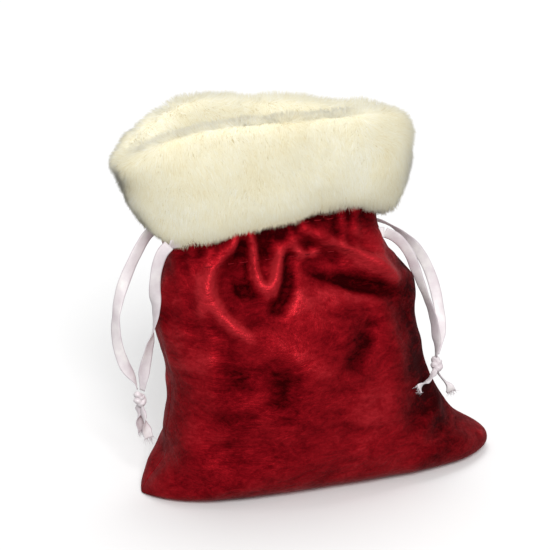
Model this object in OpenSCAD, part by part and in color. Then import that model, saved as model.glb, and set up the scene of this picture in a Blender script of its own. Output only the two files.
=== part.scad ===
// Drawstring gift sack: a velvet body that stands on its filled bottom, a doubled fur cuff
// round the mouth, and two ribbon drawstrings in a sewn tunnel under the cuff.
// Millimetres. +Z is up and -Y is the front. The origin is on the floor under the middle
// of the outline.

/* [Velvet body] */
// Length of the bottom seam between the two corners
base_w = 204; // [150:1:260]
// Depth of the flat patch that the filled sack stands on
foot_d = 66; // [50:1:72]
// Width of the straight middle of the sack
waist_w = 145; // [134:1:180]
// Height at which the flare of the corners ends
waist_z = 78; // [60:1:86]
// Height at which the shoulders start to draw in
shoulder_z = 88; // [86:1:100]
// Depth of the belly, front to back
belly_d = 92; // [76:1:116]
// Height of the deepest part of the belly
belly_z = 45; // [30:1:60]
// Height of the gathered neck above the floor
neck_z = 128; // [110:1:160]
// Width of the gathered neck
neck_w = 116; // [96:1:132]
// Depth of the gathered neck
neck_d = 30; // [26:1:40]
// Thickness of the velvet
velvet_t = 1.6; // [1.2:0.1:2]

/* [Lean] */
// Sideways place of the bottom seam's middle
foot_x = 4; // [-10:0.5:10]
// How far the neck leans to the left of the foot
lean_x = 25; // [0:1:32]
// How far the neck leans back from the belly
lean_y = 5; // [0:1:10]

/* [Ribbon tunnel] */
// Width of the ribbon
ribbon_w = 6; // [5:0.5:7.5]
// Thickness of the ribbon
ribbon_t = 0.6; // [0.4:0.1:0.8]
// Clearance round a ribbon inside the tunnel
ribbon_gap = 0.5; // [0.4:0.1:0.8]
// Thickness of the tunnel strip
strip_t = 1; // [0.8:0.1:1.5]
// Height of the sewn edge above and below the tunnel
sewn_edge = 2; // [1.5:0.5:3]

/* [Fur cuff] */
// Height of the cuff above its seam, at the middle
cuff_h = 57; // [45:1:72]
// Thickness of the doubled fur at the middle of a lip
cuff_t = 21; // [16:1:26]
// Depth of the open mouth between the two lips
mouth_d = 22; // [18:1:26]
// Width of the part of each lip that moves
lip_w = 112; // [90:1:118]
// Reach of the left corner past the moving lips
left_corner = 29; // [18:1:36]
// Reach of the right corner past the moving lips
right_corner = 25; // [18:1:36]
// Drop of the rim from the left end of a lip to its right end
rim_drop = 10; // [0:1:14]
// Gap between the cuff and the velvet's top edge
cuff_gap = 1.5; // [1:0.5:3]

/* [Stitches] */
// Length of one stitch
stitch_l = 4; // [2.5:0.5:5]
// Distance from stitch to stitch
stitch_pitch = 7; // [6:0.5:10]
// Radius of the thread
thread_r = 0.35; // [0.25:0.05:0.5]

/* [Hidden] */

velvet = "#8a1420";
fur = "#efe7cf";
satin = "#e6dede";
thread = "#5e0c14";

// Clear height of the tunnel: two ribbons one above the other
tunnel_h = 2 * ribbon_w + 3 * 2 * ribbon_gap;
tunnel_z = neck_z + 1 + sewn_edge;
panel_top = tunnel_z + tunnel_h + sewn_edge;
right_ribbon_z = tunnel_z + 2 * ribbon_gap + ribbon_w / 2;
left_ribbon_z = right_ribbon_z + ribbon_w + 2 * ribbon_gap;
// The neck's middle
neck_x = foot_x - lean_x;
neck_y = lean_y;
// The neck is flat in front and behind, and round at its two ends
neck_end = 11;
flat_u = 1 - neck_end / (neck_w / 2);
flat_half = neck_w / 2 - neck_end;
// Half the gap between the front and the back velvet along the seams
seam_gap = 0.15;
// Distances out from the neck's middle: panel's inner face, ribbon's middle, strip's outer face
wall_in = neck_d / 2 + seam_gap - velvet_t;
ribbon_y = wall_in - ribbon_gap - ribbon_t / 2;
strip_y = ribbon_y - ribbon_t / 2 - ribbon_gap;
// The strands hang from the ribbon ends, beside the runs and outside the velvet
strand_step = ribbon_t + ribbon_gap;
strand_y = ribbon_y + strand_step;
// Distance of each hanging point from the neck's middle
exit_x = neck_w / 2 + 3;
left_exit_x = neck_x - exit_x;
right_exit_x = neck_x + exit_x;
// The cuff's seam line and the thinner ends of its lips
seam_z = panel_top + cuff_gap;
lip_end_taper = 0.28;
// Half the gap between the moving lips and the corners
corner_gap = 0.5;
// Gap between the two layers of the doubled fur
layer_gap = 0.4;
seam_t = 1.2;
seam_depth = 8;

// Heights of the rings of the velvet, as shares of the neck's height, then the top
ring_share = [0, 0.025, 0.06, 0.11, 0.17, 0.24, 0.31, 0.38, 0.45, 0.52, 0.6, 0.68, 0.75, 0.82, 0.88, 0.94, 1];
ring_z = concat([for (s = ring_share) s * neck_z], [panel_top]);

// Route of each hanging strand, from its ribbon end down to its knot
left_front_route = [[-86, -9, 138], [-89, -9, 130], [-90, -8, 119], [-89, -6, 107], [-90, -4, 95],
    [-92, -2, 83], [-94, 0, 71], [-95, 1, 59]];
left_back_route = [[-86, 19, 138], [-92, 17, 130], [-98, 15, 120], [-103, 13, 109], [-106, 11, 97],
    [-106, 9, 85], [-103, 7, 73], [-98, 5, 64], [-97, 4, 59]];
right_front_route = [[47, -10, 131], [53, -12, 123], [57, -13, 113], [61, -14, 102], [65, -15, 91],
    [68, -15, 81], [69, -16, 71], [69, -16, 62]];
right_back_route = [[47, 19, 133], [57, 18, 128], [66, 16, 120], [73, 13, 110], [77, 9, 99],
    [78, 3, 88], [77, -4, 77], [73, -11, 67], [71, -13, 62]];
// Place of each knot's middle
left_knot_at = [-96, 2.5, 54];
right_knot_at = [70, -15, 57];
knot_r = 4.2;
knot_h = 8.5;
// Route of each frayed tail, from the knot's underside
left_front_tail_route = [[-95, 0, 49], [-94, -2, 41], [-92, -3, 32]];
left_back_tail_route = [[-97, 5, 49], [-97, 7, 41], [-96, 8, 34]];
right_front_tail_route = [[66, -20, 54], [59, -27, 53], [51, -34, 52]];
right_back_tail_route = [[71, -13, 52], [76, -13, 45], [81, -12, 38]];

// ---- Shape of the velvet ----

// Half width at height z: flared corners, straight waist, shoulders drawn in to the neck
function half_w(z) =
    z < waist_z ? waist_w / 2 + (base_w - waist_w) / 2 * pow(1 - z / waist_z, 2)
    : z < shoulder_z ? waist_w / 2
    : z < neck_z ? neck_w / 2 + (waist_w - neck_w) / 2 * (1 - pow((z - shoulder_z) / (neck_z - shoulder_z), 2))
    : neck_w / 2;

// Half depth at height z: a rounded edge at the floor, a full belly, a flat neck
function half_d(z) =
    z < belly_z ? belly_d / 2 - (belly_d - foot_d) / 2 * pow(1 - z / belly_z, 4)
    : z < neck_z ? neck_d / 2 + (belly_d - neck_d) / 2 * (1 - pow((z - belly_z) / (neck_z - belly_z), 2.4))
    : neck_d / 2;

// Middle of the sack at height z
function mid_x(z) = foot_x - lean_x * min(1, z / neck_z);
function mid_y(z) = lean_y * pow(max(0, min(1, (z - belly_z) / (neck_z - belly_z))), 1.5);

// How far the outline at height z has turned from a round belly into the flat neck
function flatness(z) = pow(max(0, min(1, (z - shoulder_z) / (neck_z - shoulder_z))), 2);

// Stations across a panel, from -1 at the left seam to 1 at the right: close together
// at the ends, with one exactly where the neck's flat stretch ends
end_steps = 6;
mid_steps = 12;
stations = concat(
    [for (k = [0:end_steps - 1]) -flat_u - (1 - flat_u) * cos(90 * k / end_steps)],
    [for (k = [0:mid_steps]) -flat_u + 2 * flat_u * k / mid_steps],
    [for (k = [end_steps - 1:-1:0]) flat_u + (1 - flat_u) * cos(90 * k / end_steps)]);

// Depth at station u as a share of the half depth
function round_end(u) = sqrt(max(0, 1 - u * u));
function flat_end(u) = sqrt(max(0, 1 - pow(max(0, (abs(u) - flat_u) / (1 - flat_u)), 2)));
function bulge(u, z) = (1 - flatness(z)) * round_end(u) + flatness(z) * flat_end(u);

// A point of a panel's outer (t = 0) or inner (t = velvet_t) face. side is -1 in front
function panel_point(u, z, t, side) =
    [mid_x(z) + (half_w(z) - 1.5 * t) * u, mid_y(z) + side * (seam_gap + (half_d(z) - t) * bulge(u, z)), z];

// Floor point of a panel: the flat patch runs from the bottom seam to the belly's edge
function floor_point(u, t, share, side) =
    [mid_x(0) + (half_w(0) - 1.5 * t) * u,
        side * (seam_gap + share * (half_d(0) - t) * bulge(u, 0)), t];

// A closed skin from two grids of points: outer and inner, the same number of rows and columns
module skin(outer, inner) {
    rows = len(outer);
    cols = len(outer[0]);
    points = concat([for (r = outer) for (p = r) p], [for (r = inner) for (p = r) p]);
    n = rows * cols;
    function quad(a, b, c, d) = [[a, b, c], [a, c, d]];
    function at(r, c) = r * cols + c;
    outside = [for (r = [0:rows - 2]) for (c = [0:cols - 2])
        each quad(at(r, c), at(r, c + 1), at(r + 1, c + 1), at(r + 1, c))];
    inside = [for (r = [0:rows - 2]) for (c = [0:cols - 2])
        each quad(n + at(r, c), n + at(r + 1, c), n + at(r + 1, c + 1), n + at(r, c + 1))];
    bottom = [for (c = [0:cols - 2]) each quad(at(0, c), n + at(0, c), n + at(0, c + 1), at(0, c + 1))];
    top = [for (c = [0:cols - 2]) each quad(
        at(rows - 1, c), at(rows - 1, c + 1), n + at(rows - 1, c + 1), n + at(rows - 1, c))];
    left = [for (r = [0:rows - 2]) each quad(at(r, 0), at(r + 1, 0), n + at(r + 1, 0), n + at(r, 0))];
    right = [for (r = [0:rows - 2]) each quad(
        at(r, cols - 1), n + at(r, cols - 1), n + at(r + 1, cols - 1), at(r + 1, cols - 1))];
    polyhedron(points, [for (f = concat(outside, inside, bottom, top, left, right)) [f[0], f[2], f[1]]]);
}

// Floor rows run from the bottom seam outwards, then the rings go up to the top edge
floor_shares = [0.02, 0.5];
function panel_grid(t, side) = concat(
    [for (s = floor_shares) [for (u = stations) floor_point(u, t, s, side)]],
    [for (z = ring_z) [for (u = stations) panel_point(u, max(z, t), t, side)]]);

module panel_solid(side) {
    if (side < 0) skin(panel_grid(0, side), panel_grid(velvet_t, side));
    else mirror([0, 1, 0]) skin(
        [for (r = panel_grid(0, side)) [for (p = r) [p[0], -p[1], p[2]]]],
        [for (r = panel_grid(velvet_t, side)) [for (p = r) [p[0], -p[1], p[2]]]]);
}

// Slots in a panel, near the side seams, where the ribbons leave the tunnel
module exit_slots(side) {
    slot_h = ribbon_w + 2 * ribbon_gap;
    slot_t = ribbon_t + 2 * ribbon_gap;
    for (e = [[-1, left_ribbon_z], [1, right_ribbon_z]])
        translate([neck_x + e[0] * (neck_w / 2 - neck_end / 2), neck_y + side * ribbon_y, e[1]])
            cube([neck_end + 2 * velvet_t, slot_t, slot_h], center = true);
}

// The part of a panel under the floor is cut off, so the sack stands on one flat face
module panel(side) {
    difference() {
        panel_solid(side);
        exit_slots(side);
        translate([0, 0, -50]) cube([4 * base_w, 4 * belly_d, 100], center = true);
    }
}

module front_panel() color(velvet) panel(-1);
module back_panel() color(velvet) panel(1);

// ---- Seams inside the sack ----

// The sewn allowance of a side seam: a flat strip that follows the panels' edge
module side_seam(s) {
    rings = [for (z = ring_z) if (z > 8 && z < neck_z - 1) z];
    edge = 2.5;
    function strip_ring(z) = [for (q = [[edge, -1], [edge + seam_depth, -1], [edge + seam_depth, 1], [edge, 1]])
        [mid_x(z) + s * (half_w(z) - 1.5 * velvet_t - q[0]), mid_y(z) + q[1] * seam_t / 2, z]];
    color(velvet) tube([for (z = rings) strip_ring(z)], -s);
}

// The sewn allowance of the bottom seam stands up inside, along the middle of the floor
module bottom_seam() {
    gap = 0.2;
    inset = 24;
    color(velvet) translate([foot_x, 0, velvet_t + gap + seam_depth / 2])
        cube([base_w - 2 * inset, seam_t, seam_depth], center = true);
}

module left_side_seam() side_seam(-1);
module right_side_seam() side_seam(1);

// A closed tube through rings of points, with flat ends. turn is 1 or -1 and sets which
// way the rings run
module tube(rings, turn = 1) {
    sides = len(rings[0]);
    count = len(rings);
    points = [for (r = rings) for (p = r) p];
    wall = [for (i = [0:count - 2]) for (k = [0:sides - 1])
        let (a = i * sides + k, b = i * sides + (k + 1) % sides)
        each [[a, b, b + sides], [a, b + sides, a + sides]]];
    first = [[for (k = [sides - 1:-1:0]) k]];
    last = [[for (k = [0:sides - 1]) (count - 1) * sides + k]];
    faces = concat(wall, first, last);
    polyhedron(points, turn > 0 ? [for (f = faces) [for (k = [len(f) - 1:-1:0]) f[k]]] : faces);
}

// ---- Ribbon tunnel ----

// A strip sewn inside the panel along its top and bottom edge, hollow between them
module tunnel_strip(side) {
    plate_out = strip_y;
    plate_in = strip_y - strip_t;
    z0 = tunnel_z - sewn_edge;
    z1 = tunnel_z + tunnel_h + sewn_edge;
    length = 2 * (flat_half - 2.5);
    color(velvet) translate([neck_x - length / 2, neck_y, 0]) mirror([0, side < 0 ? 1 : 0, 0])
        rotate([90, 0, 90]) linear_extrude(length) polygon([
            [plate_in, z0], [wall_in, z0], [wall_in, tunnel_z], [plate_out, tunnel_z],
            [plate_out, tunnel_z + tunnel_h], [wall_in, tunnel_z + tunnel_h], [wall_in, z1], [plate_in, z1]]);
}

module front_tunnel_strip() tunnel_strip(-1);
module back_tunnel_strip() tunnel_strip(1);

// Two rows of stitches on the outside of a panel, along the strip's sewn edges
module tunnel_stitches(side) {
    count = floor((2 * flat_half - 2 * stitch_l) / stitch_pitch);
    for (z = [tunnel_z - sewn_edge / 2, tunnel_z + tunnel_h + sewn_edge / 2])
        for (k = [0:count])
            translate([neck_x + (k - count / 2) * stitch_pitch, neck_y + side * (neck_d / 2 + seam_gap), z])
                rotate([side < 0 ? 0 : 180, 0, 0]) rotate([90, 0, 0]) stitch();
}

// One stitch: a round thread cut flat where it lies on the cloth
module stitch() {
    translate([-stitch_l / 2, 0, 0]) rotate([90, 0, 90]) linear_extrude(stitch_l) intersection() {
        circle(thread_r, $fn = 24);
        translate([-thread_r, 0]) square([2 * thread_r, thread_r]);
    }
}

module front_tunnel_stitches() color(thread) tunnel_stitches(-1);
module back_tunnel_stitches() color(thread) tunnel_stitches(1);

// ---- Fur cuff ----

// Half height of the doubled fur at a distance x from the lips' middle
function fur_half_h(x) = cuff_h / 2 - rim_drop / 2 * x / lip_w;
// Half thickness of the doubled fur there
function fur_half_t(x) = cuff_t / 2 * (1 - lip_end_taper * pow(2 * x / lip_w, 2));

// A point of the fur's outline at angle a: 0 points at the outside, 90 at the rim
fur_power = 2.6;
function rounded(v) = sign(v) * pow(abs(v), 2 / fur_power);
function fur_point(x, a, side, shift) = [
    neck_x + x,
    neck_y + side * (mouth_d / 2 + fur_half_t(x) + shift + fur_half_t(x) * rounded(cos(a))),
    seam_z + fur_half_h(x) * (1 + rounded(sin(a)))];

// Half of a doubled lip: the outer fur or the facing turned in behind it
lip_steps = 10;
arc_steps = 12;
module lip_layer(side, from, to, shift) {
    reach = lip_w / 2 - corner_gap;
    rings = [for (k = [0:lip_steps]) let (x = -reach + 2 * reach * k / lip_steps)
        [for (j = [0:arc_steps]) fur_point(x, from + (to - from) * j / arc_steps, side, shift)]];
    color(fur) tube(rings, side * (to > from ? 1 : -1));
}

module front_cuff() lip_layer(-1, -90, 90, 0);
module back_cuff() lip_layer(1, -90, 90, 0);
module front_cuff_facing() lip_layer(-1, 90, 270, -layer_gap);
module back_cuff_facing() lip_layer(1, 90, 270, -layer_gap);

// The bulky corner of the cuff at a side seam: one round pad that narrows to its tip
corner_steps = 8;
corner_sides = 20;
module cuff_corner(s, reach) {
    start = lip_w / 2 + corner_gap;
    half_depth = mouth_d / 2 + 2 * fur_half_t(start);
    half_h = fur_half_h(s * start);
    function shrink(k) = max(0.12, cos(90 * k / corner_steps));
    rings = [for (k = [0:corner_steps]) let (x = start + (reach - corner_gap) * sin(90 * k / corner_steps))
        [for (j = [0:corner_sides - 1]) let (a = 360 * j / corner_sides) [
            neck_x + s * x,
            neck_y + half_depth * shrink(k) * rounded(cos(a)),
            seam_z + half_h * (1 + pow(shrink(k), 0.8) * rounded(sin(a)))]]];
    color(fur) tube(rings, s);
}

module left_cuff_corner() cuff_corner(-1, left_corner);
module right_cuff_corner() cuff_corner(1, right_corner);

// ---- Ribbons ----

function unit(v) = v / norm(v);

// The flat section of a ribbon at a point, across the way it runs. Its face looks along Y
function ribbon_ring(p, along) =
    let (wide = unit(cross([0, 1, 0], along)), thin = unit(cross(along, wide)),
        w = ribbon_w / 2, t = ribbon_t / 2, c = ribbon_t / 2)
    [for (q = [[-w, -t / 2], [-w + c, -t], [w - c, -t], [w, -t / 2],
               [w, t / 2], [w - c, t], [-w + c, t], [-w, t / 2]])
        p + q[0] * wide + q[1] * thin];

function route_way(route, i) =
    unit(route[min(i + 1, len(route) - 1)] - route[max(i - 1, 0)]);

module ribbon(route) {
    color(satin) tube([for (i = [0:len(route) - 1]) ribbon_ring(route[i], route_way(route, i))]);
}

// Straight ribbon in the tunnel, from its hanging point in to just short of the middle,
// so that it stays in the tunnel when it is drawn out
module ribbon_run(s, side, z) {
    length = exit_x - ribbon_gap;
    color(satin) translate([neck_x + s * (ribbon_gap + length / 2), neck_y + side * ribbon_y, z])
        cube([length, ribbon_t, ribbon_w], center = true);
}

// The rest of the ribbon: from the middle of the front tunnel, round the neck's far end and
// back to the middle of the back tunnel
turn_steps = 8;
turn_reach = 8;
module ribbon_far_turn(s, z) {
    bend_x = flat_half - 1;
    bend = [for (k = [0:turn_steps]) let (a = -90 + 180 * k / turn_steps)
        [neck_x + s * (bend_x + turn_reach * cos(a)), neck_y + ribbon_y * sin(a), z]];
    ends = [neck_x + s * ribbon_gap, z];
    route = concat([[ends[0], neck_y - ribbon_y, ends[1]]], bend, [[ends[0], neck_y + ribbon_y, ends[1]]]);
    function upright_ring(i) =
        let (along = route_way(route, i), thin = unit(cross([0, 0, 1], along)), w = ribbon_w / 2, t = ribbon_t / 2)
        [for (q = [[-w, -t], [w, -t], [w, t], [-w, t]]) route[i] + [0, 0, q[0]] + q[1] * thin];
    color(satin) tube([for (i = [0:len(route) - 1]) upright_ring(i)], -1);
}

// A hanging strand starts beside the end of its run, outside it
function strand_route(x, side, z, route) = concat([[x, neck_y + side * strand_y, z]], route);

module left_ribbon_front_run() ribbon_run(-1, -1, left_ribbon_z);
module left_ribbon_back_run() ribbon_run(-1, 1, left_ribbon_z);
module left_ribbon_far_turn() ribbon_far_turn(1, left_ribbon_z);
module left_ribbon_front_strand() ribbon(strand_route(left_exit_x, -1, left_ribbon_z, left_front_route));
module left_ribbon_back_strand() ribbon(strand_route(left_exit_x, 1, left_ribbon_z, left_back_route));
module left_front_tail() ribbon(left_front_tail_route);
module left_back_tail() ribbon(left_back_tail_route);

module right_ribbon_front_run() ribbon_run(1, -1, right_ribbon_z);
module right_ribbon_back_run() ribbon_run(1, 1, right_ribbon_z);
module right_ribbon_far_turn() ribbon_far_turn(-1, right_ribbon_z);
module right_ribbon_front_strand() ribbon(strand_route(right_exit_x, -1, right_ribbon_z, right_front_route));
module right_ribbon_back_strand() ribbon(strand_route(right_exit_x, 1, right_ribbon_z, right_back_route));
module right_front_tail() ribbon(right_front_tail_route);
module right_back_tail() ribbon(right_back_tail_route);

// An overhand knot, as a small barrel with tapered ends
module knot(at) {
    color(satin) translate(at) rotate_extrude($fn = 32) polygon([
        [0, -knot_h / 2], [knot_r * 0.6, -knot_h / 2], [knot_r, -knot_h / 4],
        [knot_r, knot_h / 4], [knot_r * 0.6, knot_h / 2], [0, knot_h / 2]]);
}

module left_knot() knot(left_knot_at);
module right_knot() knot(right_knot_at);

front_panel();
back_panel();
left_side_seam();
right_side_seam();
bottom_seam();
front_tunnel_strip();
back_tunnel_strip();
front_tunnel_stitches();
back_tunnel_stitches();
front_cuff();
front_cuff_facing();
back_cuff();
back_cuff_facing();
left_cuff_corner();
right_cuff_corner();
left_ribbon_front_run();
left_ribbon_back_run();
left_ribbon_far_turn();
left_ribbon_front_strand();
left_ribbon_back_strand();
left_knot();
left_front_tail();
left_back_tail();
right_ribbon_front_run();
right_ribbon_back_run();
right_ribbon_far_turn();
right_ribbon_front_strand();
right_ribbon_back_strand();
right_knot();
right_front_tail();
right_back_tail();
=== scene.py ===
import math

import bpy
import numpy as np
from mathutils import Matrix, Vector, kdtree


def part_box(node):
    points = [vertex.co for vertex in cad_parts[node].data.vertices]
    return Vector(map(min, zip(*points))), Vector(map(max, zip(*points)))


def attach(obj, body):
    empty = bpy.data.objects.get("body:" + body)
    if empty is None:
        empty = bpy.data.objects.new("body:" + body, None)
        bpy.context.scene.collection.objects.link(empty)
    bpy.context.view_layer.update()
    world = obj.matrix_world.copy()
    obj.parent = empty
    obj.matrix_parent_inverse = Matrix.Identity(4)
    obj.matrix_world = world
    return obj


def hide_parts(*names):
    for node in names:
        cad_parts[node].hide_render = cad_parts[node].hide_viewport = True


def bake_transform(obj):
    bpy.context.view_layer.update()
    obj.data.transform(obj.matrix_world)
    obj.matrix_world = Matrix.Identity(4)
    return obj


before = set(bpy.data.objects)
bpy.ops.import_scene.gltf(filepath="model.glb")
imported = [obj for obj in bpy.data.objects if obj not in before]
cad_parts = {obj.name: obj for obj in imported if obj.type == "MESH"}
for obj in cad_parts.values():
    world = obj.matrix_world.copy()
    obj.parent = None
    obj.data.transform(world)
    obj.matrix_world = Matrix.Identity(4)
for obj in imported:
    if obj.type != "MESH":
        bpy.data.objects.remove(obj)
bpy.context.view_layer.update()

MM = 0.001  # lengths below are in millimetres unless they say otherwise

# ---------------------------------------------------------------- camera
AZIMUTH, ELEVATION = math.radians(-21), math.radians(19)
DISTANCE, AIM_HEIGHT, AIM_LEFT, AIM_UP = 1.25, 0.105, 0.0184, 0.0073  # metres
back = Vector((math.sin(AZIMUTH) * math.cos(ELEVATION), -math.cos(AZIMUTH) * math.cos(ELEVATION),
               math.sin(ELEVATION)))
right = Vector((math.cos(AZIMUTH), math.sin(AZIMUTH), 0))
up = back.cross(right)
aim = Vector((0, 0, AIM_HEIGHT)) - right * AIM_LEFT + up * AIM_UP
camera = bpy.data.objects.new("camera", bpy.data.cameras.new("camera"))
camera.data.sensor_width = 36
camera.data.lens = 151.5
camera.location = aim + back * DISTANCE
camera.rotation_euler = back.to_track_quat("Z", "Y").to_euler()
bpy.context.collection.objects.link(camera)
bpy.context.scene.camera = camera


# ---------------------------------------------------------------- helpers
def mesh_object(name, points, faces, materials, slots=None, uv=None):
    """A smooth-shaded mesh from points in millimetres and one array of faces, or a list of them.
    slots gives each face's material, and uv gives each point's place in the UV map."""
    me = bpy.data.meshes.new(name)
    points = np.asarray(points, float) * MM
    faces = [np.asarray(f, int) for f in (faces if isinstance(faces, list) else [faces])]
    me.vertices.add(len(points))
    me.vertices.foreach_set("co", points.ravel())
    loops = np.concatenate([f.ravel() for f in faces])
    sizes = np.concatenate([np.full(len(f), f.shape[1]) for f in faces])
    me.loops.add(len(loops))
    me.loops.foreach_set("vertex_index", loops)
    me.polygons.add(len(sizes))
    me.polygons.foreach_set("loop_start", np.concatenate([[0], np.cumsum(sizes)[:-1]]))
    for m in materials:
        me.materials.append(m)
    if slots is not None:
        me.polygons.foreach_set("material_index", np.asarray(slots, int))
    me.update(calc_edges=True)
    if uv is not None:
        layer = me.uv_layers.new(name="UVMap")
        layer.uv.foreach_set("vector", np.asarray(uv, np.float32)[loops].ravel())
    me.polygons.foreach_set("use_smooth", np.full(len(sizes), True))
    me.update()
    ob = bpy.data.objects.new(name, me)
    bpy.context.collection.objects.link(ob)
    return ob


def grid_faces(rows, cols, wrap=False, offset=0, flip=False):
    """Quads over a grid of points. wrap joins the last column to the first."""
    r = np.arange(rows - 1)[:, None]
    c = np.arange(cols if wrap else cols - 1)[None, :]
    d = (c + 1) % cols
    a, b, e, f = r * cols + c, r * cols + d, (r + 1) * cols + d, (r + 1) * cols + c
    q = np.stack([x.ravel() for x in np.broadcast_arrays(a, b, e, f)], 1) + offset
    return q[:, ::-1] if flip else q


def end_cap(ring, flip):
    """Quads that close the flat end of a tube, from the point numbers round it."""
    half, back_way = len(ring) // 2, ring[::-1]
    quads = np.stack([ring[:half - 1], ring[1:half], back_way[1:half], back_way[:half - 1]], 1)
    return quads[:, ::-1] if flip else quads


def unit(v):
    return v / np.maximum(np.linalg.norm(v, axis=-1, keepdims=True), 1e-9)


def smooth01(x):
    x = np.clip(x, 0, 1)
    return x * x * (3 - 2 * x)


def grid_normals(g):
    return unit(np.cross(np.gradient(g, axis=1), np.gradient(g, axis=0)))


def blurred(a, times):
    """A grid of values, each pulled towards its neighbours along both directions."""
    for _ in range(times):
        a = a.copy()
        a[1:-1] = (a[:-2] + 2 * a[1:-1] + a[2:]) / 4
        a[:, 1:-1] = (a[:, :-2] + 2 * a[:, 1:-1] + a[:, 2:]) / 4
    return a


def eased(g, fade, times):
    """A grid of points, smoothed from row to row as much as fade says."""
    for _ in range(times):
        h = g.copy()
        h[1:-1] = (g[:-2] + 2 * g[1:-1] + g[2:]) / 4
        g = g + (h - g) * fade
    return g


def curve(a, b, c, d, t):
    """The smooth curve from b to c at share t. a and d are the points before and after them."""
    return 0.5 * (2 * b + (c - a) * t + (2 * a - 5 * b + 4 * c - d) * t**2
                  + (3 * b - a - 3 * c + d) * t**3)


def spline(points, count):
    """A smooth line through points, as count points at even distances, and its length."""
    p = np.asarray(points, float)
    q = np.vstack([2 * p[0] - p[1], p, 2 * p[-1] - p[-2]])
    t = np.linspace(0, 1, 16, endpoint=False)[:, None]
    out = []
    for i in range(1, len(q) - 2):
        out.append(curve(q[i - 1], q[i], q[i + 1], q[i + 2], t))
    line = np.vstack(out + [p[-1:]])
    s = np.concatenate([[0], np.cumsum(np.linalg.norm(np.diff(line, axis=0), axis=1))])
    even = np.linspace(0, s[-1], count)
    return np.stack([np.interp(even, s, line[:, k]) for k in range(line.shape[1])], 1), s[-1]


def lattice_noise(p, size, seed):
    """Smooth noise from -1 to 1 at points p (n x k), with features of about size."""
    p = np.asarray(p, float) / size
    base = np.floor(p).astype(np.int64)
    frac = p - base
    frac = frac * frac * (3 - 2 * frac)
    total = np.zeros(len(p))
    for corner in range(2 ** p.shape[1]):
        w = np.ones(len(p))
        h = np.full(len(p), seed * 7919, np.int64)
        for k in range(p.shape[1]):
            bit = corner >> k & 1
            w *= frac[:, k] if bit else 1 - frac[:, k]
            h = (h * 31 + (base[:, k] + bit) * 73856093) & 0x7FFFFFFF
            h = (h ^ (h >> 13)) * 1274126177 & 0x7FFFFFFF
        total += w * ((h ^ (h >> 16)) % 20011 / 10005.5 - 1)
    return total


# ---------------------------------------------------------------- materials
def rgb(r, g, b):
    """An sRGB colour from 0 to 255, as the linear values that shaders take."""
    return tuple(((c / 255 + 0.055) / 1.055) ** 2.4 if c > 10 else c / 255 / 12.92 for c in (r, g, b)) + (1,)


class Nodes:
    """A material with a Principled shader, and short ways to add nodes to it.
    Keywords set the shader's own sockets, with _ for each space."""

    def __init__(self, name, **sockets):
        self.mat = bpy.data.materials.new(name)
        self.mat.use_nodes = True
        self.tree = self.mat.node_tree
        self.shader = self.tree.nodes["Principled BSDF"]
        for k, v in sockets.items():
            self.shader.inputs[k.replace("_", " ")].default_value = v

    def add(self, kind, values=(), **props):
        n = self.tree.nodes.new(kind)
        for k, v in props.items():
            setattr(n, k, v)
        for k, v in dict(values).items():
            n.inputs[k].default_value = v
        return n

    def link(self, a, b):
        self.tree.links.new(a, b)

    def coords(self, scale=(1, 1, 1), rotation=(0, 0, 0), kind="Object"):
        c = self.add("ShaderNodeTexCoord")
        m = self.add("ShaderNodeMapping", {"Scale": scale, "Rotation": rotation})
        self.link(c.outputs[kind], m.inputs["Vector"])
        return m.outputs["Vector"]

    def noise(self, vector, scale, detail=3, rough=0.55, distort=0):
        n = self.add("ShaderNodeTexNoise",
                     {"Scale": scale, "Detail": detail, "Roughness": rough, "Distortion": distort})
        self.link(vector, n.inputs["Vector"])
        return n.outputs["Fac"]

    def wave(self, vector, direction, scale, distort):
        w = self.add("ShaderNodeTexWave", {"Scale": scale, "Distortion": distort}, bands_direction=direction)
        self.link(vector, w.inputs["Vector"])
        return w.outputs["Fac"]

    def ramp(self, fac, stops):
        r = self.add("ShaderNodeValToRGB")
        e = r.color_ramp.elements
        while len(e) < len(stops):
            e.new(0.5)
        for item, (pos, col) in zip(e, stops):
            item.position, item.color = pos, col
        self.link(fac, r.inputs["Fac"])
        return r.outputs["Color"]

    def remap(self, fac, low, high, to_low, to_high):
        m = self.add("ShaderNodeMapRange",
                     {"From Min": low, "From Max": high, "To Min": to_low, "To Max": to_high})
        self.link(fac, m.inputs["Value"])
        return m.outputs["Result"]

    def math(self, op, a, b):
        m = self.add("ShaderNodeMath", operation=op)
        for i, v in enumerate((a, b)):
            if hasattr(v, "links"):
                self.link(v, m.inputs[i])
            else:
                m.inputs[i].default_value = v
        return m.outputs[0]

    def mix(self, fac, a, b):
        m = self.add("ShaderNodeMix", data_type="RGBA")
        for i, v in ((0, fac), (6, a), (7, b)):
            if hasattr(v, "links"):
                self.link(v, m.inputs[i])
            else:
                m.inputs[i].default_value = v
        return m.outputs[2]

    def bump(self, height, strength, distance, normal=None):
        b = self.add("ShaderNodeBump", {"Strength": strength, "Distance": distance})
        self.link(height, b.inputs["Height"])
        if normal is not None:
            self.link(normal, b.inputs["Normal"])
        return b.outputs["Normal"]

    def to(self, out, name):
        self.link(out, self.shader.inputs[name])


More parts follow.
